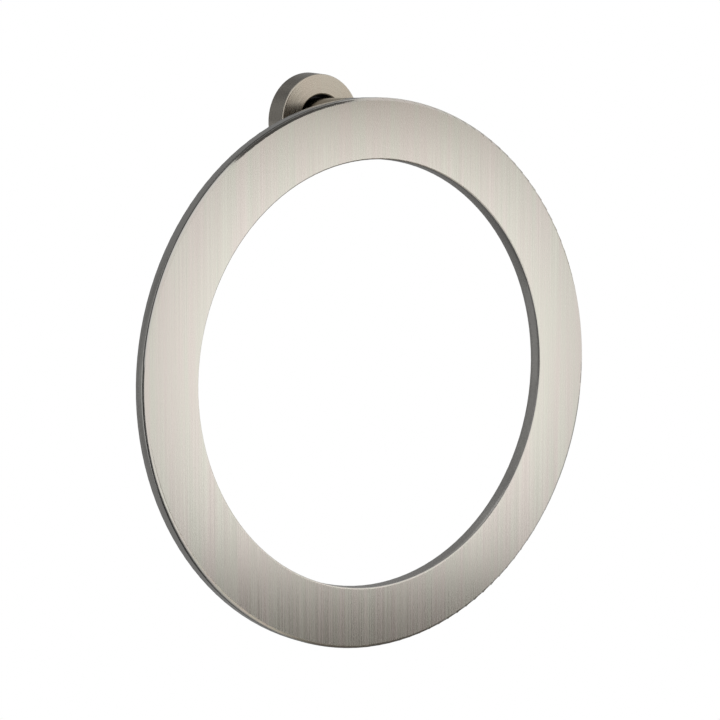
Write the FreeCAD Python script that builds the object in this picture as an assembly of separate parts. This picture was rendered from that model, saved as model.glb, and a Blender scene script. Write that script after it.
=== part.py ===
"""Wall towel ring: a flat brushed ring carried by a short post, a wall bracket and a turned rosette.

Millimetres. The origin is on the wall, on the axis of the post. +Z is up, the wall is the plane y = 0,
and the room is towards -Y. The ring hangs below the post, in front of the wall.
"""

import FreeCAD
import Part
import math
import os

from FreeCAD import Vector

# Ring: a flat annular plate, whose edges are eased. The outer front edge is eased the most.
RING_OUTER_D = 215.0
RING_BAND = 23.85
RING_THICKNESS = 6.0
RING_OUTER_FRONT_ROUND = 1.2
RING_INNER_FRONT_ROUND = 0.6
RING_BACK_ROUND = 0.5

# Distance from the wall to the front face of the ring.
PROJECTION = 46.0

# Post: a round turned bar, bored from the wall end. Its top lies just inside the ring's outer edge.
POST_D = 19.0
POST_BELOW_RING_TOP = 0.1
POST_END_ROUND = 0.3
POST_WEB = 6.0

# Wall bracket: a disc with a boss that the post slides over.
BRACKET_THICKNESS = 4.0
BRACKET_EDGE_ROUND = 0.3
BOSS_D = 12.0
BOSS_LENGTH = 16.0
BOSS_NOSE_CHAMFER = 0.8
BOSS_FLAT_DEPTH = 0.5
BOSS_FLAT_LENGTH = 8.0
WALL_SCREW_HOLE_D = 4.2
WALL_SCREW_HEAD_D = 7.0

# Rosette: a turned cover with a tapered side and a slightly raised face.
ROSETTE_WALL_D = 39.4
ROSETTE_FRONT_D = 37.9
ROSETTE_RIM_DEPTH = 8.8
ROSETTE_LIP_DEPTH = 9.5
ROSETTE_SIDE = 1.5
ROSETTE_FACE = 2.6
ROSETTE_RIM_ROUND = 0.7
ROSETTE_LIP_ROUND = 0.6
ROSETTE_INNER_ROUND = 0.4
ROSETTE_BACK_CHAMFER = 0.2
ROSETTE_POST_GAP = 1.4
ROSETTE_BRACKET_CLEARANCE = 0.2

# Screw that draws the ring on to the post, from inside the bore, and the dowel beside it.
RING_SCREW_D = 5.0
RING_SCREW_HEAD_D = 8.5
RING_SCREW_HEAD_HEIGHT = 5.0
RING_SCREW_SOCKET = 4.0
RING_SCREW_SOCKET_DEPTH = 2.5
RING_SCREW_GRIP = 4.0
RING_PIN_D = 3.0
RING_PIN_LENGTH = 8.0

# Set screws, each with a hexagon socket. The post's has a flat tip and the rosette's has a point,
# which enters a dimple in the rim of the bracket.
POST_SET_SCREW_D = 5.0
POST_SET_SCREW_SOCKET = 2.5
POST_SET_SCREW_FROM_WALL = 13.0
ROSETTE_SET_SCREW_D = 3.0
ROSETTE_SET_SCREW_SOCKET = 1.5
ROSETTE_SET_SCREW_FROM_WALL = 2.0
POST_SET_SCREW_TIP_D = 3.0
ROSETTE_SET_SCREW_TIP_D = 0.4
RIM_DIMPLE_DEPTH = 0.9
SET_SCREW_RECESS = 0.3
SET_SCREW_SOCKET_SHARE = 0.4
SCREW_END_CHAMFER = 0.4

# Clearances.
BOSS_CLEARANCE = 0.05
SCREW_HOLE_CLEARANCE = 0.25
THREAD_CLEARANCE = 0.05
PIN_CLEARANCE = 0.02
DIMPLE_CLEARANCE = 0.1
BLIND_HOLE_EXTRA = 0.3
CUT_PAST = 1.0

# Places that follow from the sizes above. Y values are negative, towards the room.
ring_outer_r = RING_OUTER_D / 2
ring_inner_r = ring_outer_r - RING_BAND
ring_front_y = -PROJECTION
ring_back_y = ring_front_y + RING_THICKNESS

post_r = POST_D / 2
ring_centre_z = -(ring_outer_r - post_r - POST_BELOW_RING_TOP)
post_wall_y = -BRACKET_THICKNESS
bore_r = BOSS_D / 2 + BOSS_CLEARANCE
bore_end_y = ring_back_y + POST_WEB

rosette_wall_r = ROSETTE_WALL_D / 2
rosette_front_r = ROSETTE_FRONT_D / 2
rosette_opening_r = post_r + ROSETTE_POST_GAP
rosette_inner_y = -(ROSETTE_RIM_DEPTH - ROSETTE_FACE)

screw_hole_r = RING_SCREW_D / 2 + SCREW_HOLE_CLEARANCE
pin_z = -(screw_hole_r + post_r) / 2
pin_middle_y = ring_back_y


def rosette_side_r(depth):
    """Outer radius of the rosette's tapered side, at a depth in front of the wall."""
    share = depth / ROSETTE_RIM_DEPTH
    return rosette_wall_r + (rosette_front_r - rosette_wall_r) * share


def rosette_inner_r(depth):
    """Inner radius of the rosette's side, at a depth in front of the wall."""
    return rosette_side_r(depth) - ROSETTE_SIDE


rosette_narrowest_r = min(rosette_inner_r(0), rosette_inner_r(BRACKET_THICKNESS))
bracket_r = rosette_narrowest_r - ROSETTE_BRACKET_CLEARANCE
wall_screw_x = (post_r + bracket_r) / 2
dimple_bottom_z = -(bracket_r - RIM_DIMPLE_DEPTH)


def rounded_outline(corners):
    """Closed wire in the XY plane through (x, y, round) corners, each rounded by a tangent arc."""
    starts, middles, ends = [], [], []
    for index, (x, y, radius) in enumerate(corners):
        corner = Vector(x, y, 0)
        before = Vector(*corners[index - 1][:2], 0) - corner
        after = Vector(*corners[(index + 1) % len(corners)][:2], 0) - corner
        before.normalize()
        after.normalize()
        half = before.getAngle(after) / 2
        inward = before + after
        if radius == 0:
            starts.append(corner)
            middles.append(None)
            ends.append(corner)
            continue
        inward.normalize()
        starts.append(corner + before * (radius / math.tan(half)))
        middles.append(corner + inward * (radius / math.sin(half) - radius))
        ends.append(corner + after * (radius / math.tan(half)))
    edges = []
    for index, middle in enumerate(middles):
        if middle is not None:
            edges.append(Part.Arc(starts[index], middle, ends[index]).toShape())
        following = starts[(index + 1) % len(corners)]
        if following.distanceToPoint(ends[index]) > 1e-7:
            edges.append(Part.LineSegment(ends[index], following).toShape())
    return Part.Wire(edges)


def turned(corners, z=0.0):
    """Solid turned about an axis along Y at height z, from (radius, y, round) corners."""
    section = Part.Face(rounded_outline(corners))
    solid = section.revolve(Vector(0, 0, 0), Vector(0, 1, 0), 360)
    solid.translate(Vector(0, 0, z))
    return solid


def rod(radius, y_from, y_to, x=0.0, z=0.0):
    """Plain cylinder along Y between two y values."""
    low = min(y_from, y_to)
    return Part.makeCylinder(radius, abs(y_to - y_from), Vector(x, low, z), Vector(0, 1, 0))


def hexagon(across_flats, y_from, y_to):
    """Hexagonal prism along Y, on the Y axis, between two y values."""
    corner_r = across_flats / 2 / math.cos(math.pi / 6)
    points = []
    for step in range(7):
        angle = math.radians(60 * step)
        points.append(Vector(corner_r * math.cos(angle), y_from, corner_r * math.sin(angle)))
    face = Part.Face(Part.makePolygon(points))
    return face.extrude(Vector(0, y_to - y_from, 0))


def set_screw(diameter, tip_d, length, socket):
    """Socket set screw along Y: its tip is at y = 0 and its socket at y = length."""
    radius = diameter / 2
    tip_r = tip_d / 2
    body = turned([
        (0, 0, 0),
        (tip_r, 0, 0),
        (radius, radius - tip_r, 0),
        (radius, length - SCREW_END_CHAMFER / 2, 0),
        (radius - SCREW_END_CHAMFER / 2, length, 0),
        (0, length, 0),
    ])
    return body.cut(hexagon(socket, length * (1 - SET_SCREW_SOCKET_SHARE), length + CUT_PAST))


def pointing_down(shape, y, z):
    """The shape turned so that its +Y end points down, with its y = 0 end at height z."""
    placed = shape.copy()
    placed.rotate(Vector(0, 0, 0), Vector(1, 0, 0), -90)
    placed.translate(Vector(0, y, z))
    return placed


def hole_down(diameter, from_wall, z_from, z_to):
    """Cylinder along Z that cuts a tapped hole in an underside."""
    low = min(z_from, z_to)
    start = Vector(0, -from_wall, low)
    return Part.makeCylinder(diameter / 2, abs(z_to - z_from), start, Vector(0, 0, 1))


def ring():
    """Flat annular plate with eased edges, tapped and reamed from the back for the post."""
    plate = turned([
        (ring_inner_r, ring_front_y, RING_INNER_FRONT_ROUND),
        (ring_outer_r, ring_front_y, RING_OUTER_FRONT_ROUND),
        (ring_outer_r, ring_back_y, RING_BACK_ROUND),
        (ring_inner_r, ring_back_y, RING_BACK_ROUND),
    ], ring_centre_z)
    tapped_end = ring_back_y - RING_SCREW_GRIP - BLIND_HOLE_EXTRA
    tapped = rod(RING_SCREW_D / 2, tapped_end, ring_back_y + CUT_PAST)
    reamed_end = pin_middle_y - RING_PIN_LENGTH / 2 - BLIND_HOLE_EXTRA / 2
    reamed = rod(RING_PIN_D / 2 + PIN_CLEARANCE, reamed_end, ring_back_y + CUT_PAST, z=pin_z)
    return plate.cut(tapped).cut(reamed)


def ring_screw():
    """Socket head screw through the web of the post into the ring."""
    radius = RING_SCREW_D / 2 - THREAD_CLEARANCE
    end_y = ring_back_y - RING_SCREW_GRIP
    head_y = bore_end_y + RING_SCREW_HEAD_HEIGHT
    body = turned([
        (0, end_y, 0),
        (radius - SCREW_END_CHAMFER, end_y, 0),
        (radius, end_y + SCREW_END_CHAMFER, 0),
        (radius, bore_end_y, 0),
        (RING_SCREW_HEAD_D / 2, bore_end_y, 0),
        (RING_SCREW_HEAD_D / 2, head_y, SCREW_END_CHAMFER),
        (0, head_y, 0),
    ])
    return body.cut(hexagon(RING_SCREW_SOCKET, head_y - RING_SCREW_SOCKET_DEPTH, head_y + CUT_PAST))


def ring_pin():
    """Dowel that stops the ring turning, half in the post and half in the ring."""
    half = RING_PIN_LENGTH / 2
    radius = RING_PIN_D / 2
    return turned([
        (0, pin_middle_y - half, 0),
        (radius, pin_middle_y - half, SCREW_END_CHAMFER),
        (radius, pin_middle_y + half, SCREW_END_CHAMFER),
        (0, pin_middle_y + half, 0),
    ], pin_z)


def post():
    """Round post from the bracket to the back of the ring, bored for the boss."""
    bar = turned([
        (0, ring_back_y, 0),
        (post_r, ring_back_y, POST_END_ROUND),
        (post_r, post_wall_y, POST_END_ROUND),
        (0, post_wall_y, 0),
    ])
    bore = rod(bore_r, bore_end_y, post_wall_y + CUT_PAST)
    screw_hole = rod(screw_hole_r, ring_back_y - CUT_PAST, bore_end_y)
    pin_end = pin_middle_y + RING_PIN_LENGTH / 2 + BLIND_HOLE_EXTRA / 2
    pin_hole = rod(RING_PIN_D / 2 + PIN_CLEARANCE, ring_back_y - CUT_PAST, pin_end, z=pin_z)
    set_hole = hole_down(POST_SET_SCREW_D, POST_SET_SCREW_FROM_WALL, 0, -post_r - CUT_PAST)
    return bar.cut(bore).cut(screw_hole).cut(pin_hole).cut(set_hole)


def boss_flat_z():
    """Height of the flat on the underside of the boss, which the set screw bears on."""
    return -(BOSS_D / 2 - BOSS_FLAT_DEPTH)


def post_set_screw():
    """Set screw in the underside of the post, on the flat of the boss."""
    length = post_r - SET_SCREW_RECESS + boss_flat_z()
    diameter = POST_SET_SCREW_D - 2 * THREAD_CLEARANCE
    screw = set_screw(diameter, POST_SET_SCREW_TIP_D, length, POST_SET_SCREW_SOCKET)
    return pointing_down(screw, -POST_SET_SCREW_FROM_WALL, boss_flat_z())


def countersunk_hole(x):
    """Cutter for one wall screw: a through hole, countersunk at the front of the bracket."""
    hole_r = WALL_SCREW_HOLE_D / 2
    head_r = WALL_SCREW_HEAD_D / 2
    cone_depth = head_r - hole_r
    hole = rod(hole_r, -BRACKET_THICKNESS - CUT_PAST, CUT_PAST, x=x)
    front = Vector(x, -BRACKET_THICKNESS, 0)
    cone = Part.makeCone(head_r, hole_r, cone_depth, front, Vector(0, 1, 0))
    return hole.fuse(cone)


def rim_dimple():
    """Cutter for the dimple in the underside of the bracket's rim, for the rosette's set screw."""
    bottom_r = ROSETTE_SET_SCREW_TIP_D / 2 + DIMPLE_CLEARANCE
    depth = RIM_DIMPLE_DEPTH + CUT_PAST
    bottom = Vector(0, -ROSETTE_SET_SCREW_FROM_WALL, dimple_bottom_z)
    return Part.makeCone(bottom_r, bottom_r + depth, depth, bottom, Vector(0, 0, -1))


def wall_bracket():
    """Disc against the wall with two wall screw holes and the boss that carries the post."""
    nose_y = -BRACKET_THICKNESS - BOSS_LENGTH
    boss_r = BOSS_D / 2
    body = turned([
        (0, nose_y, 0),
        (boss_r - BOSS_NOSE_CHAMFER, nose_y, 0),
        (boss_r, nose_y + BOSS_NOSE_CHAMFER, 0),
        (boss_r, -BRACKET_THICKNESS, 0),
        (bracket_r, -BRACKET_THICKNESS, BRACKET_EDGE_ROUND),
        (bracket_r, 0, 0),
        (0, 0, 0),
    ])
    flat_start = Vector(-boss_r, -POST_SET_SCREW_FROM_WALL - BOSS_FLAT_LENGTH / 2, -BOSS_D)
    flat = Part.makeBox(BOSS_D, BOSS_FLAT_LENGTH, BOSS_D + boss_flat_z(), flat_start)
    body = body.cut(flat).cut(rim_dimple())
    for x in (-wall_screw_x, wall_screw_x):
        body = body.cut(countersunk_hole(x))
    return body


def rosette():
    """Turned cover over the bracket, open for the post, tapped below for its set screw."""
    shell = turned([
        (rosette_wall_r - ROSETTE_BACK_CHAMFER, 0, 0),
        (rosette_side_r(ROSETTE_BACK_CHAMFER), -ROSETTE_BACK_CHAMFER, 0),
        (rosette_front_r, -ROSETTE_RIM_DEPTH, ROSETTE_RIM_ROUND),
        (rosette_opening_r, -ROSETTE_LIP_DEPTH, ROSETTE_LIP_ROUND),
        (rosette_opening_r, rosette_inner_y, 0),
        (rosette_inner_r(-rosette_inner_y), rosette_inner_y, ROSETTE_INNER_ROUND),
        (rosette_inner_r(0), 0, 0),
    ])
    tapped = hole_down(
        ROSETTE_SET_SCREW_D,
        ROSETTE_SET_SCREW_FROM_WALL,
        -bracket_r,
        -rosette_wall_r - CUT_PAST,
    )
    return shell.cut(tapped)


def rosette_set_screw():
    """Pointed set screw in the underside of the rosette, in the dimple of the bracket's rim."""
    outer_z = SET_SCREW_RECESS - rosette_side_r(ROSETTE_SET_SCREW_FROM_WALL)
    length = dimple_bottom_z - outer_z
    diameter = ROSETTE_SET_SCREW_D - 2 * THREAD_CLEARANCE
    screw = set_screw(diameter, ROSETTE_SET_SCREW_TIP_D, length, ROSETTE_SET_SCREW_SOCKET)
    return pointing_down(screw, -ROSETTE_SET_SCREW_FROM_WALL, dimple_bottom_z)


NODES = {
    "ring": ring,
    "post": post,
    "rosette": rosette,
    "wall_bracket": wall_bracket,
    "post_set_screw": post_set_screw,
    "rosette_set_screw": rosette_set_screw,
    "ring_screw": ring_screw,
    "ring_pin": ring_pin,
}


def main():
    """Build every piece and write one STEP file for each."""
    os.makedirs("parts", exist_ok=True)
    for name, build in NODES.items():
        shape = build()
        box = shape.BoundBox
        shape.exportStep(f"parts/{name}.step")
        print(
            f"{name}: {len(shape.Solids)} solid, {shape.Volume:.1f} mm3, valid {shape.isValid()}, "
            f"x {box.XMin:.2f} {box.XMax:.2f}, y {box.YMin:.2f} {box.YMax:.2f}, "
            f"z {box.ZMin:.2f} {box.ZMax:.2f}"
        )


if __name__ == "__main__":
    main()
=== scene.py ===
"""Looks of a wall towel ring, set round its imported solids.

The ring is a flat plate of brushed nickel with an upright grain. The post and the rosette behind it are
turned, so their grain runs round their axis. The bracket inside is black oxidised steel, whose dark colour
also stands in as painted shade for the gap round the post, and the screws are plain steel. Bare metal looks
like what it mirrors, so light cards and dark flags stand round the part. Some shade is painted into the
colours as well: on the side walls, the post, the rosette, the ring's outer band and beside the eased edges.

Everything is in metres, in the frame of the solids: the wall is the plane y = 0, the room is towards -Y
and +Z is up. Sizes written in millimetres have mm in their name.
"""

import logging
import math
from collections.abc import Callable
from dataclasses import dataclass
from enum import Enum

import bmesh
import bpy
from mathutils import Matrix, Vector


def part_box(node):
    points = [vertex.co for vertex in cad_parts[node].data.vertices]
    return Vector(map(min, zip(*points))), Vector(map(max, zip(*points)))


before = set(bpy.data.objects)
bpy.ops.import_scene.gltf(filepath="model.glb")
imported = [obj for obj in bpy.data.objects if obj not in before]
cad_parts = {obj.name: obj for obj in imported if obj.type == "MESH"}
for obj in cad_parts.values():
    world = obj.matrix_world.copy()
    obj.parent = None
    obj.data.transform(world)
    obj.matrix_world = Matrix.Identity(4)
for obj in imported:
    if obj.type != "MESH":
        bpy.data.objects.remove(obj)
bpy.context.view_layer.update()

MM = 0.001

log = logging.getLogger("towel_ring")

Socket = bpy.types.NodeSocket
Colour = tuple[float, float, float, float]
Span = tuple[float, float]

# The slope is 1 on a face, 0 on a side wall, and in between on the eased edge that joins them. Over each
# of these spans of it, one look gives way to the next.
# A dark line drawn beside each eased edge is painted shade, for the dark that the edge mirrors.
PAINTED_SHADE_LINE_BEGINS: Span = (0.0, 0.06)  # from the wall to the painted shade line
PAINTED_SHADE_LINE_ENDS: Span = (0.30, 0.45)  # from the painted shade line to the polished eased edge
GRAIN_TURNS: Span = (0.45, 0.85)  # from the grain of the wall to that of the face
POLISH_ENDS: Span = (0.96, 0.995)  # from the polished eased edge to the brushed face

# A side wall bulges most along its middle, and between these distances from there it falls away.
CROWN_FALL_MM: Span = (0.5, 2.4)
CROWN_POWER = 3.0  # how suddenly it falls away

# Noise mostly keeps to the first span. The casts are read from the narrower one, so that both show in full.
LINE_NOISE: Span = (0.3, 0.7)
CAST_NOISE: Span = (0.38, 0.62)
NOISE_DETAIL = 2.0
NOISE_ROUGHNESS = 0.55
CAST_STRETCH = 20  # how many times taller than wide a cast is
ROUGHNESS_SWING = 0.2  # how far the roughness changes with the lines, as a share


class Slot(Enum):
    """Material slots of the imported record."""

    RING = "ring_finish"
    TURNED = "turned_finish"
    BRACKET = "bracket_steel"
    STEEL = "screw_steel"


class Layout(Enum):
    """How the grain of a metal runs over a piece."""

    UPRIGHT = "upright lines on the faces, and lines round the axis on the side walls"
    TURNED = "lines round the axis everywhere"


def srgb(code: str) -> Colour:
    """Turns an sRGB hex colour into linear light.

    Args:
        code: six hex digits after a hash sign.

    Returns:
        Linear red, green and blue, and an alpha of 1.
    """
    parts = [int(code[start:start + 2], 16) / 255 for start in (1, 3, 5)]
    linear = [p / 12.92 if p <= 0.04045 else ((p + 0.055) / 1.055) ** 2.4 for p in parts]
    return (*linear, 1.0)


def add_node(tree: bpy.types.NodeTree, kind: str, inputs: dict[str | int, object],
             **settings: object) -> bpy.types.Node:
    """Adds one node, with its settings, values and links.

    A Mix node has a pair of inputs for each type of data: 2 and 3 for numbers, 4 and 5 for vectors, and
    6 and 7 for colours. Its outputs are 0, 1 and 2, in the same order.

    Args:
        tree: the node tree that gets it.
        kind: Blender's name for the type of node.
        inputs: for each input, by name or number, the value or the socket that feeds it.
        settings: the node's own properties.

    Returns:
        The new node.
    """
    node = tree.nodes.new(kind)
    for name, value in settings.items():
        setattr(node, name, value)
    for key, value in inputs.items():
        if isinstance(value, Socket):
            tree.links.new(value, node.inputs[key])
        else:
            node.inputs[key].default_value = value
    return node


def direction(azimuth_deg: float, elevation_deg: float) -> Vector:
    """Gives the unit vector away from the object at two angles.

    Args:
        azimuth_deg: 0 is towards the room along -Y, and 90 is along +X.
        elevation_deg: angle above the horizon.

    Returns:
        The direction.
    """
    azimuth, elevation = math.radians(azimuth_deg), math.radians(elevation_deg)
    level = math.cos(elevation)
    return Vector((math.sin(azimuth) * level, -math.cos(azimuth) * level, math.sin(elevation)))


def mesh_piece(name: str, build: Callable[[bmesh.types.BMesh], None], smooth: bool) -> bpy.types.Object:
    """Makes an object from a function that fills a bmesh.

    Args:
        name: the object's name.
        build: adds the vertices and faces.
        smooth: whether its faces are shaded smooth.

    Returns:
        The object, linked to the scene.
    """
    made = bmesh.new()
    build(made)
    bmesh.ops.recalc_face_normals(made, faces=made.faces)
    for face in made.faces:
        face.smooth = smooth
    mesh = bpy.data.meshes.new(name)
    made.to_mesh(mesh)
    made.free()
    piece = bpy.data.objects.new(name, mesh)
    bpy.context.scene.collection.objects.link(piece)
    return piece


@dataclass(frozen=True)
class Metal:
    """A solid or plated metal with a grain. Metals keep the default IOR.

    Attributes:
        name: the finish, in a maker's words.
        face: colour of the faces.
        edge: colour of the narrow side walls, darker than the faces as painted shade for the dark that they
            mirror.
        roughness: blur along the grain and across it, taken together.
        eased_roughness: the same on the eased edges and the side walls, which are more polished.
        anisotropy: how much more the grain blurs across its lines than along them.
        grain_mm: width of one drawn line.
        grain_tone: how far a line is lighter or darker, as a share.
        tint_a: one of the two faint casts that the metal has in places.
        tint_b: the other faint cast.
        tint_mm: width of such a place.
        bump_mm: depth of the lines.
        layout: how the grain runs.
        grain_length_mm: length of one upright line. Turned lines go all the way round.
        crown_mm: how far the side walls bulge between their edges.
        band_mm: distances from the axis at which the band of the face begins and ends.
        painted_outer_shade: how much darker the face is painted at the band's outer end, as shade, as a
            share.
        painted_line_shade: how much darker the painted shade line between eased edge and wall is at the outer
            end, as a share.
        inner_painted_line_shade: the same at the band's inner end.
        inner_roughness: roughness of the eased edge and the wall at the inner end.
    """

    name: str
    face: str
    edge: str
    roughness: float
    eased_roughness: float
    anisotropy: float
    grain_mm: float
    grain_tone: float
    tint_a: str
    tint_b: str
    tint_mm: float
    bump_mm: float
    layout: Layout
    grain_length_mm: float = 0.0
    crown_mm: float = 0.0
    band_mm: Span = (0.0, 1.0)
    painted_outer_shade: float = 0.0
    painted_line_shade: float = 0.0
    inner_painted_line_shade: float = 0.0
    inner_roughness: float = 0.0

    def material(self, centre: Vector) -> bpy.types.Material:
        """Makes the material for one piece.

        Args:
            centre: the middle of the piece. Turned grain runs round the axis through it along Y.

        Returns:
            The node material.
        """
        made = bpy.data.materials.new(self.name)
        made.use_nodes = True
        tree = made.node_tree
        tree.nodes.clear()
        place = self._place(tree, centre)
        slope = self._slope(tree)
        wall = self._wall(tree, slope)
        lines = self._lines(tree, place, wall)
        crowned = add_node(tree, "ShaderNodeBump", {
            "Strength": 1.0, "Distance": self.crown_mm * MM, "Height": self._crown(tree, place),
        })
        grained = add_node(tree, "ShaderNodeBump", {
            "Strength": 1.0, "Distance": self.bump_mm * MM, "Height": lines,
            "Normal": crowned.outputs["Normal"],
        })
        shader = add_node(tree, "ShaderNodeBsdfPrincipled", {
            "Base Color": self._with_painted_shade_line(tree, self._colour(tree, place, lines, wall), place, slope),
            "Metallic": 1.0,
            "Roughness": self._roughness(tree, lines, place, slope),
            "Anisotropic": self.anisotropy,
            "Normal": grained.outputs["Normal"],
            "Tangent": self._across_grain(tree, place, wall),
        })
        add_node(tree, "ShaderNodeOutputMaterial", {"Surface": shader.outputs["BSDF"]})
        return made

    def _place(self, tree: bpy.types.NodeTree, centre: Vector) -> Socket:
        """Gives the position on the piece, counted from its centre, in metres."""
        spot = add_node(tree, "ShaderNodeTexCoord", {}).outputs["Object"]
        return add_node(tree, "ShaderNodeVectorMath", {0: spot, 1: centre}, operation="SUBTRACT").outputs[0]

    def _slope(self, tree: bpy.types.NodeTree) -> Socket:
        """Tells faces from side walls by the way that they point.

        Args:
            tree: the material's nodes.

        Returns:
            The slope: 1 on the faces, 0 on the side walls, and in between on the eased edges.
        """
        normal = add_node(tree, "ShaderNodeNewGeometry", {}).outputs["Normal"]
        along = add_node(tree, "ShaderNodeSeparateXYZ", {0: normal}).outputs["Y"]
        return add_node(tree, "ShaderNodeMath", {0: along}, operation="ABSOLUTE").outputs[0]

    def _wall(self, tree: bpy.types.NodeTree, slope: Socket) -> Socket:
        """Gives the share of the side walls' painted-shade colour and of their grain.

        Args:
            tree: the material's nodes.
            slope: 1 on the faces and 0 on the side walls.

        Returns:
            1 on the side walls and 0 on the faces, with a smooth change on the eased edges.
        """
        start, end = GRAIN_TURNS
        return add_node(tree, "ShaderNodeMapRange", {
            "Value": slope, "From Min": start, "From Max": end, "To Min": 1.0, "To Max": 0.0,
        }, interpolation_type="SMOOTHSTEP").outputs["Result"]

    def _crown(self, tree: bpy.types.NodeTree, place: Socket) -> Socket:
        """Shapes the bulge of a side wall.

        Args:
            tree: the material's nodes.
            place: position on the piece.

        Returns:
            The height, which is 1 along the middle of the wall and 0 near its edges.
        """
        start, end = CROWN_FALL_MM
        along = add_node(tree, "ShaderNodeSeparateXYZ", {0: place}).outputs["Y"]
        depth = add_node(tree, "ShaderNodeMath", {0: along}, operation="ABSOLUTE").outputs[0]
        share = add_node(tree, "ShaderNodeMapRange", {
            "Value": depth, "From Min": start * MM, "From Max": end * MM,
        }).outputs["Result"]
        fall = add_node(tree, "ShaderNodeMath", {0: share, 1: CROWN_POWER}, operation="POWER").outputs[0]
        return add_node(tree, "ShaderNodeMath", {0: 1.0, 1: fall}, operation="SUBTRACT").outputs[0]

    def _round_axis(self, tree: bpy.types.NodeTree, place: Socket) -> Socket:
        """Winds a position up into one that is the same all the way round the axis.

        Args:
            tree: the material's nodes.
            place: position on the piece.

        Returns:
            The distance from the axis, the place along it and 0, as a vector.
        """
        parts = add_node(tree, "ShaderNodeSeparateXYZ", {0: place}).outputs
        flat = add_node(tree, "ShaderNodeCombineXYZ", {0: parts["X"], 1: parts["Z"]}).outputs[0]
        radius = add_node(tree, "ShaderNodeVectorMath", {0: flat}, operation="LENGTH").outputs["Value"]
        return add_node(tree, "ShaderNodeCombineXYZ", {0: radius, 1: parts["Y"]}).outputs[0]

    def _lines(self, tree: bpy.types.NodeTree, place: Socket, wall: Socket) -> Socket:
        """Draws the grain.

        Args:
            tree: the material's nodes.
            place: position on the piece.
            wall: 1 on the side walls and 0 on the faces.

        Returns:
            The height of the lines, from 0 to 1.
        """
        width = self.grain_mm * MM
        turned = self._streaks(tree, self._round_axis(tree, place), (1 / width, 1 / width, 1.0))
        if self.layout is Layout.TURNED:
            return turned
        length = self.grain_length_mm * MM
        upright = self._streaks(tree, place, (1 / width, 1 / length, 1 / length))
        return add_node(tree, "ShaderNodeMix", {
            0: wall, 2: upright, 3: turned,
        }, data_type="FLOAT").outputs[0]

    def _streaks(self, tree: bpy.types.NodeTree, place: Socket, scale: tuple[float, float, float]) -> Socket:
        """Makes noise that changes at its own rate along each axis.

        Args:
            tree: the material's nodes.
            place: position on the piece.
            scale: for each axis, how many times the noise changes in a metre.

        Returns:
            The noise.
        """
        scaled = add_node(tree, "ShaderNodeVectorMath", {0: place, 1: scale}, operation="MULTIPLY")
        return add_node(tree, "ShaderNodeTexNoise", {
            "Vector": scaled.outputs[0], "Scale": 1.0, "Detail": NOISE_DETAIL, "Roughness": NOISE_ROUGHNESS,
        }).outputs["Fac"]

    def _roughness(self, tree: bpy.types.NodeTree, lines: Socket, place: Socket, slope: Socket) -> Socket:
        """Makes the faces a little rougher in the bottom of the lines, and gives the rest its own blur.

        Args:
            tree: the material's nodes.
            lines: height of the grain.
            place: position on the piece.
            slope: 1 on the faces and 0 on the side walls.

        Returns:
            The roughness.
        """
        low, high = LINE_NOISE
        swing = ROUGHNESS_SWING * self.roughness
        brushed = add_node(tree, "ShaderNodeMapRange", {
            "Value": lines, "From Min": low, "From Max": high,
            "To Min": self.roughness + swing, "To Max": self.roughness - swing,
        }).outputs["Result"]
        eased = self._over_band(tree, place, self.inner_roughness, self.eased_roughness)
        start, end = POLISH_ENDS
        polish = add_node(tree, "ShaderNodeMapRange", {
            "Value": slope, "From Min": start, "From Max": end, "To Min": 1.0, "To Max": 0.0,
        }, interpolation_type="SMOOTHSTEP").outputs["Result"]
        return add_node(tree, "ShaderNodeMix", {
            0: polish, 2: brushed, 3: eased,
        }, data_type="FLOAT").outputs[0]

    def _casts(self, tree: bpy.types.NodeTree, place: Socket) -> Socket:
        """Gives the metal its two faint casts, in tall places.

        Args:
            tree: the material's nodes.
            place: position on the piece.

        Returns:
            The colour of the cast, which the metal's own colour is multiplied by.
        """
        low, high = CAST_NOISE
        size = self.tint_mm * MM
        cast = self._streaks(tree, place, (1 / size, 1 / size, 1 / (CAST_STRETCH * size)))
        spread = add_node(tree, "ShaderNodeMapRange", {
            "Value": cast, "From Min": low, "From Max": high,
        }).outputs["Result"]
        return add_node(tree, "ShaderNodeMix", {
            0: spread, 6: srgb(self.tint_a), 7: srgb(self.tint_b),
        }, data_type="RGBA").outputs[2]

    def _colour(self, tree: bpy.types.NodeTree, place: Socket, lines: Socket, wall: Socket) -> Socket:
        """Mixes the metal's colour with its casts and lines, and paints shade on its walls and towards the
        band's outer end.

        Args:
            tree: the material's nodes.
            place: position on the piece.
            lines: height of the grain.
            wall: 1 on the side walls and 0 on the faces.

        Returns:
            The colour.
        """
        face = add_node(tree, "ShaderNodeMix", {
            0: 1.0, 6: srgb(self.face), 7: self._casts(tree, place),
        }, data_type="RGBA", blend_type="MULTIPLY").outputs[2]
        # Painted shade: the face grows darker towards the band's outer end.
        outer_shaded_face = add_node(tree, "ShaderNodeVectorMath", {
            0: face, 3: self._over_band(tree, place, 1.0, 1 - self.painted_outer_shade),
        }, operation="SCALE").outputs[0]
        # Painted shade: the side walls take the darker edge colour.
        whole = add_node(tree, "ShaderNodeMix", {
            0: wall, 6: outer_shaded_face, 7: srgb(self.edge),
        }, data_type="RGBA").outputs[2]
        low, high = LINE_NOISE
        tone = add_node(tree, "ShaderNodeMapRange", {
            "Value": lines, "From Min": low, "From Max": high,
            "To Min": 1 - self.grain_tone, "To Max": 1 + self.grain_tone,
        }).outputs["Result"]
        return add_node(tree, "ShaderNodeVectorMath", {0: whole, 3: tone}, operation="SCALE").outputs[0]

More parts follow.
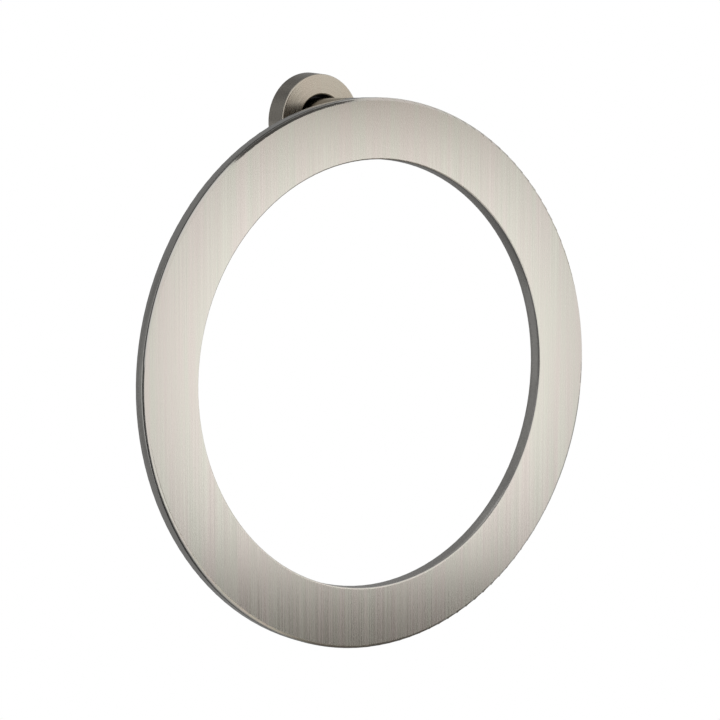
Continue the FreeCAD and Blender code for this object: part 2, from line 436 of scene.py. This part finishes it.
    def _with_painted_shade_line(self, tree: bpy.types.NodeTree, colour: Socket, place: Socket, slope: Socket) -> Socket:
        """Paints a thin line of shade on the part of an eased edge that is next to the wall, for the dark
        that it mirrors.

        Args:
            tree: the material's nodes.
            colour: the metal's colour.
            place: position on the piece.
            slope: 1 on the faces and 0 on the side walls.

        Returns:
            The colour with the painted shade line.
        """
        # Painted shade: the colour is darkened on the part of the eased edge next to the wall.
        dark = self._over_band(tree, place, self.inner_painted_line_shade, self.painted_line_shade)
        for (start, end), first, last in ((PAINTED_SHADE_LINE_BEGINS, 0.0, 1.0), (PAINTED_SHADE_LINE_ENDS, 1.0, 0.0)):
            share = add_node(tree, "ShaderNodeMapRange", {
                "Value": slope, "From Min": start, "From Max": end, "To Min": first, "To Max": last,
            }, interpolation_type="SMOOTHSTEP").outputs["Result"]
            dark = add_node(tree, "ShaderNodeMath", {0: dark, 1: share}, operation="MULTIPLY").outputs[0]
        kept = add_node(tree, "ShaderNodeMath", {0: 1.0, 1: dark}, operation="SUBTRACT").outputs[0]
        return add_node(tree, "ShaderNodeVectorMath", {0: colour, 3: kept}, operation="SCALE").outputs[0]

    def _over_band(self, tree: bpy.types.NodeTree, place: Socket, inner: float, outer: float) -> Socket:
        """Changes a value evenly over the band.

        Args:
            tree: the material's nodes.
            place: position on the piece.
            inner: the value up to the band's inner end.
            outer: the value from its outer end on.

        Returns:
            The value.
        """
        radius = add_node(tree, "ShaderNodeSeparateXYZ", {0: self._round_axis(tree, place)}).outputs["X"]
        near, far = self.band_mm
        return add_node(tree, "ShaderNodeMapRange", {
            "Value": radius, "From Min": near * MM, "From Max": far * MM, "To Min": inner, "To Max": outer,
        }).outputs["Result"]

    def _across_grain(self, tree: bpy.types.NodeTree, place: Socket, wall: Socket) -> Socket:
        """Finds the way across the lines, in which they blur most.

        Args:
            tree: the material's nodes.
            place: position on the piece.
            wall: 1 on the side walls and 0 on the faces.

        Returns:
            The direction.
        """
        along_axis = add_node(tree, "ShaderNodeCombineXYZ", {"Y": 1.0}).outputs[0]
        if self.layout is Layout.UPRIGHT:
            on_face = add_node(tree, "ShaderNodeCombineXYZ", {"X": 1.0}).outputs[0]
        else:
            outward = add_node(tree, "ShaderNodeVectorMath", {
                0: place, 1: (1.0, 0.0, 1.0),
            }, operation="MULTIPLY").outputs[0]
            on_face = add_node(tree, "ShaderNodeVectorMath", {0: outward}, operation="NORMALIZE").outputs[0]
        return add_node(tree, "ShaderNodeMix", {
            0: wall, 4: on_face, 5: along_axis,
        }, data_type="VECTOR").outputs[1]


# Nickel plated on brass and brushed upright with a fine belt: it blurs what it mirrors from side to side,
# and keeps it fairly sharp up and down. The real lines are about 0.1 mm wide, too fine to show, so they
# are drawn 0.45 mm wide. The eased outer edge is polished, and a line of painted shade sets it off from the
# wall.
BRUSHED_NICKEL = Metal(
    name="brushed_nickel_upright",
    # Painted shade: the walls' colour is darker than the face's.
    face="#DCD7D1", edge="#BDBBB7",
    roughness=0.26, eased_roughness=0.14, anisotropy=0.88,
    grain_mm=0.45, grain_tone=0.015,
    tint_a="#FFFBF9", tint_b="#FCFFF9", tint_mm=4.0,
    bump_mm=0.0008, layout=Layout.UPRIGHT, grain_length_mm=120.0,
    # Painted shade: the face is darker towards its outer edge.
    crown_mm=0.19, band_mm=(84.0, 107.0), painted_outer_shade=0.17,
    # Painted shade: a dark line beside each eased edge, strongest at the outer end.
    painted_line_shade=0.85, inner_painted_line_shade=0.30, inner_roughness=0.27,
)

# The same plating, brushed while the piece turned: bright and dark fans spread from the middle. Its lines,
# really about 0.1 mm wide, are drawn 0.4 mm wide.
TURNED_NICKEL = Metal(
    name="brushed_nickel_turned",
    # Painted shade: these colours are darker than the ring's, for the dimmer surroundings the rosette mirrors
    # behind the ring.
    face="#C7C0B6", edge="#A8A39A",
    roughness=0.27, eased_roughness=0.26, anisotropy=0.50,
    grain_mm=0.40, grain_tone=0.015,
    tint_a="#FFF9F2", tint_b="#FFFDF6", tint_mm=6.0,
    bump_mm=0.0006, layout=Layout.TURNED,
)

# The same plating on the post, over coarser marks of the lathe. Its colours are painted darker, the side's
# most, as shade for the dark that the post stands in and mirrors. Its lines are drawn 0.4 mm wide too.
SHADED_POST_NICKEL = Metal(
    name="brushed_nickel_post_shaded",
    # Painted shade: both colours, the side's most, are darkened for the dark round the post.
    face="#B9B4AA", edge="#747067",
    roughness=0.30, eased_roughness=0.16, anisotropy=0.60,
    grain_mm=0.40, grain_tone=0.04,
    tint_a="#FFF9F2", tint_b="#FFFDF6", tint_mm=6.0,
    bump_mm=0.0015, layout=Layout.TURNED,
)

# Turned steel with a black oxide skin, whose dark colour also stands in as painted shade for the unlit gap
# round the post. The tool's lines, really about 0.15 mm wide, are drawn 0.3 mm wide.
BLACK_OXIDE_AS_GAP_SHADE = Metal(
    name="black_oxide_steel_gap_shade",
    face="#46464A", edge="#414145",
    roughness=0.42, eased_roughness=0.36, anisotropy=0.40,
    grain_mm=0.30, grain_tone=0.10,
    tint_a="#FFF8F0", tint_b="#F2F5FF", tint_mm=5.0,
    bump_mm=0.004, layout=Layout.TURNED,
)

# Plain stainless screws and dowel: a cool grey, a little rough from rolling. The rolling marks, really
# about 0.1 mm wide, are drawn 0.25 mm wide.
ROLLED_STEEL = Metal(
    name="plain_stainless",
    face="#C9CACC", edge="#BFC0C2",
    roughness=0.36, eased_roughness=0.30, anisotropy=0.40,
    grain_mm=0.25, grain_tone=0.05,
    tint_a="#FFFFFF", tint_b="#F4F7FF", tint_mm=3.0,
    bump_mm=0.003, layout=Layout.TURNED,
)


def dress(node: str, finish: Metal) -> bpy.types.Object:
    """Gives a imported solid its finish.

    Args:
        node: the solid's name.
        finish: the metal that it is made of or plated with.

    Returns:
        The solid's object.
    """
    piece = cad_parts[node]
    low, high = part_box(node)
    piece.data.materials.clear()
    piece.data.materials.append(finish.material((low + high) / 2))
    return piece


@dataclass
class Ring:
    """The flat ring that the towel goes through, one plain brushed plate.

    Attributes:
        node: the solid's name.
    """

    node: str = "ring"

    def build(self) -> list[bpy.types.Object]:
        """Dresses the ring and gives its object in a list."""
        return [dress(self.node, BRUSHED_NICKEL)]


@dataclass
class WallFixing:
    """Bracket, rosette and post, with what locks them together.

    Attributes:
        post: the solid that carries the ring.
        rosette: the solid that covers the bracket.
        oxide: the solids with a black oxide skin, whose dark colour also stands in as painted shade for the
            gap round the post.
        steel: the solids of plain stainless steel.
    """

    post: str = "post"
    rosette: str = "rosette"
    oxide: tuple[str, ...] = ("wall_bracket",)
    steel: tuple[str, ...] = ("post_set_screw", "rosette_set_screw", "ring_screw", "ring_pin")

    def build(self) -> list[bpy.types.Object]:
        """Dresses every piece of the fixing.

        Returns:
            The pieces.
        """
        made = [
            dress(self.post, SHADED_POST_NICKEL),
            dress(self.rosette, TURNED_NICKEL),
        ]
        # Painted shade: the bracket's black finish also stands in for the shade in the gap round the post.
        made += [dress(node, BLACK_OXIDE_AS_GAP_SHADE) for node in self.oxide]
        made += [dress(node, ROLLED_STEEL) for node in self.steel]
        return made


@dataclass
class PhotoCamera:
    """The camera of the photograph, worked out from the outlines of the ring.

    Attributes:
        azimuth_deg: where the camera stands round the object, 0 in front of it.
        elevation_deg: how far it looks down.
        distance_mm: distance to the point that it looks at.
        aim_right_mm: how far that point lies to the right of the centre of the ring's face.
        aim_up_mm: how far it lies above that centre.
        lens_mm: focal length on the usual 36 mm sensor.
        clip: nearest and farthest distance that it draws, in metres.
    """

    azimuth_deg: float = -37.22
    elevation_deg: float = 5.68
    distance_mm: float = 961.5
    aim_right_mm: float = -7.16
    aim_up_mm: float = 5.75
    lens_mm: float = 123.44
    clip: Span = (0.01, 50.0)

    def build(self, face_centre: Vector) -> bpy.types.Object:
        """Makes the camera and sets it as the scene's.

        Args:
            face_centre: centre of the ring's front face.

        Returns:
            The camera's object.
        """
        back = direction(self.azimuth_deg, self.elevation_deg)
        right = direction(self.azimuth_deg + 90, 0)
        up = back.cross(right)
        data = bpy.data.cameras.new("photo_camera")
        data.lens = self.lens_mm
        data.clip_start, data.clip_end = self.clip
        camera = bpy.data.objects.new("photo_camera", data)
        bpy.context.scene.collection.objects.link(camera)
        aim = face_centre + (right * self.aim_right_mm + up * self.aim_up_mm) * MM
        camera.location = aim + back * self.distance_mm * MM
        camera.rotation_mode = "QUATERNION"
        camera.rotation_quaternion = (-back).to_track_quat("-Z", "Y")
        bpy.context.scene.camera = camera
        return camera


@dataclass
class Card:
    """A curved card of the studio, on a sphere about the ring's centre. The metal mirrors it.

    Attributes:
        name: where it stands. A flag is a dark card, which the metal mirrors as shade.
        azimuths_deg: where its two upright sides are, 0 in front of the object and 90 at its right.
        elevations_deg: where its bottom and top are, above the horizon.
        light: how bright it is, where 1 is white.
        tint: the colour of its light.
        radius: its distance from the ring's centre.
        steps: how many faces it has along each side.
    """

    name: str
    azimuths_deg: Span
    elevations_deg: Span
    light: float
    tint: str = "#FFFFFF"
    radius: float = 2.0
    steps: int = 12

    def build(self, centre: Vector) -> bpy.types.Object:
        """Makes the card.

        Args:
            centre: the middle of the sphere that the card lies on.

        Returns:
            The card's object.
        """
        card = mesh_piece(self.name, lambda made: self._patch(made, centre), smooth=True)
        material = bpy.data.materials.new(self.name)
        material.use_nodes = True
        material.node_tree.nodes.clear()
        glow = add_node(material.node_tree, "ShaderNodeEmission", {
            "Color": srgb(self.tint), "Strength": self.light,
        })
        add_node(material.node_tree, "ShaderNodeOutputMaterial", {"Surface": glow.outputs[0]})
        card.data.materials.append(material)
        card.visible_camera = False
        return card

    def _patch(self, made: bmesh.types.BMesh, centre: Vector) -> None:
        """Fills a bmesh with a grid of faces on the sphere.

        Args:
            made: the bmesh.
            centre: the middle of the sphere.
        """
        (west, east), (low, high) = self.azimuths_deg, self.elevations_deg
        shares = [step / self.steps for step in range(self.steps + 1)]
        rows = [[
            made.verts.new(centre + self.radius * direction(west + (east - west) * u, low + (high - low) * v))
            for u in shares] for v in shares]
        for row, above in zip(rows, rows[1:]):
            for index in range(self.steps):
                made.faces.new((row[index], row[index + 1], above[index + 1], above[index]))


@dataclass
class Studio:
    """A pale room with soft cards round the object, a white backdrop behind it and a floor below it.

    Attributes:
        room: colour of the light that comes from all round.
        floor_colour: colour of the floor's paint.
        floor_roughness: roughness of the floor's paint.
        floor_drop: how far the floor lies below the ring's centre.
        floor_radius: radius of the floor, which is round.
        floor_corners: how many corners its outline has.
        backdrop_distance: distance of the backdrop from the ring's centre.
        backdrop_half_deg: half of the angle that it takes up there.
        cards: what the metal mirrors, with the key card at the right of the camera first.
    """

    room: str = "#CBCAC8"
    floor_colour: str = "#E4E3E1"
    floor_roughness: float = 0.8
    floor_drop: float = 2.1
    floor_radius: float = 4.0
    floor_corners: int = 96
    backdrop_distance: float = 3.0
    backdrop_half_deg: float = 13.0
    cards: tuple[Card, ...] = (
        Card("key_card", (8.0, 104.0), (-12.9, 2.6), 1.1),
        Card("above_key_flag", (20.0, 128.0), (2.6, 7.0), 0.53, tint="#FFF9EC"),
        Card("above_key_card", (20.0, 128.0), (7.0, 70.0), 0.88),
        Card("left_card", (-66.0, 8.0), (-35.0, 2.6), 1.05),
        Card("upper_left_card", (-100.0, 20.0), (2.6, 70.0), 1.0),
        Card("high_back_card", (-165.0, -100.0), (50.0, 70.0), 0.95),
        Card("low_flag", (8.0, 62.0), (-20.0, -12.9), 0.085, tint="#FFEFDC"),
        Card("floor_flag", (30.0, 128.0), (-70.0, -35.0), 0.14, tint="#FFF6EA"),
        Card("floor_edge_flag", (30.0, 62.0), (-35.0, -20.0), 0.14, tint="#FFF6EA"),
        Card("low_right_card", (62.0, 128.0), (-35.0, -20.0), 0.55),
        Card("low_front_card", (8.0, 30.0), (-70.0, -20.0), 0.80, tint="#FFF8EE"),
        Card("low_left_card", (-60.0, 8.0), (-70.0, -35.0), 0.70),
        Card("low_right_edge_card", (62.0, 104.0), (-20.0, -12.9), 0.55),
        Card("right_card", (104.0, 128.0), (-20.0, 2.6), 0.50),
        Card("left_flag", (-120.0, -66.0), (-35.0, 2.6), 0.05),
        Card("far_left_flag", (-132.0, -120.0), (-35.0, 39.0), 0.28),
        Card("high_strip_flag", (-137.0, -132.0), (1.5, 39.0), 0.14),
        Card("low_strip", (-137.0, -132.0), (-35.0, 1.5), 0.75),
        Card("upper_left_flag", (-120.0, -100.0), (2.6, 39.0), 0.08),
        Card("lower_left_flag", (-134.0, -60.0), (-70.0, -35.0), 0.11),
        Card("back_strip", (-143.0, -137.0), (-35.0, 39.0), 0.65),
        Card("back_card", (141.0, 209.0), (-41.0, 39.0), 0.29),
        Card("back_left_flag", (209.0, 217.0), (-41.0, 39.0), 0.16),
        Card("back_right_flag", (128.0, 141.0), (-41.0, 39.0), 0.20),
        Card("back_top_flag", (128.0, 260.0), (39.0, 50.0), 0.12),
        Card("back_high_card", (128.0, 195.0), (50.0, 70.0), 0.45),
        Card("back_low_flag", (128.0, 226.0), (-70.0, -41.0), 0.12),
        Card("near_post_flag", (-88.0, 20.0), (56.0, 87.0), 0.10, radius=0.13),
    )

    def build(self, centre: Vector, camera: PhotoCamera) -> None:
        """Makes the room, the cards, the floor and the backdrop.

        Args:
            centre: the ring's centre.
            camera: the camera, which the backdrop stands opposite.
        """
        self._room()
        for card in self.cards:
            card.build(centre)
        self._floor(centre)
        self._backdrop(centre, camera)

    def _room(self) -> None:
        """Lights everything softly from all round."""
        world = bpy.data.worlds.new("room")
        bpy.context.scene.world = world
        world.use_nodes = True
        world.node_tree.nodes.clear()
        glow = add_node(world.node_tree, "ShaderNodeBackground", {"Color": srgb(self.room), "Strength": 1.0})
        add_node(world.node_tree, "ShaderNodeOutputWorld", {"Surface": glow.outputs[0]})

    def _floor(self, centre: Vector) -> None:
        """Makes the pale floor.

        Args:
            centre: the ring's centre.
        """
        height = centre.z - self.floor_drop

        def disc(made: bmesh.types.BMesh) -> None:
            """Fills a bmesh with one round face.

            Args:
                made: the bmesh.
            """
            corners, radius = self.floor_corners, self.floor_radius
            bmesh.ops.create_circle(made, cap_ends=True, segments=corners, radius=radius)
            bmesh.ops.translate(made, verts=made.verts, vec=(0.0, 0.0, height))

        floor = mesh_piece("floor", disc, smooth=False)
        paint = bpy.data.materials.new("pale_floor_paint")
        paint.use_nodes = True
        shader = paint.node_tree.nodes["Principled BSDF"]
        shader.inputs["Base Color"].default_value = srgb(self.floor_colour)
        shader.inputs["Roughness"].default_value = self.floor_roughness
        floor.data.materials.append(paint)

    def _backdrop(self, centre: Vector, camera: PhotoCamera) -> None:
        """Makes the white card behind the object, which the camera sees and the metal mirrors.

        It gives no light to matt surfaces.

        Args:
            centre: the ring's centre.
            camera: the camera that it stands opposite.
        """
        half = self.backdrop_half_deg
        azimuth, elevation = camera.azimuth_deg + 180, -camera.elevation_deg
        card = Card(
            "backdrop", (azimuth - half, azimuth + half), (elevation - half, elevation + half), 1.0,
            radius=self.backdrop_distance,
        ).build(centre)
        card.visible_camera = True
        tree = card.data.materials[0].node_tree
        path = add_node(tree, "ShaderNodeLightPath", {}).outputs
        seen = path["Is Camera Ray"]
        for other in ("Is Glossy Ray", "Is Transmission Ray"):
            seen = add_node(tree, "ShaderNodeMath", {0: seen, 1: path[other]}, operation="MAXIMUM").outputs[0]
        tree.links.new(seen, tree.nodes["Emission"].inputs["Strength"])


def main() -> None:
    """Dresses the part, sets the camera and the studio, and reports each piece."""
    logging.basicConfig(level=logging.INFO, format="%(message)s")
    low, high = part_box("ring")
    centre = (low + high) / 2
    face_centre = Vector((centre.x, low.y, centre.z))
    for assembly in (Ring(), WallFixing()):
        for piece in assembly.build():
            log.info("%s: %s, %d faces", type(assembly).__name__, piece.name, len(piece.data.polygons))
    camera = PhotoCamera()
    camera.build(face_centre)
    Studio().build(centre, camera)
    bpy.context.scene.view_settings.view_transform = "Standard"


if __name__ == "__main__":
    main()
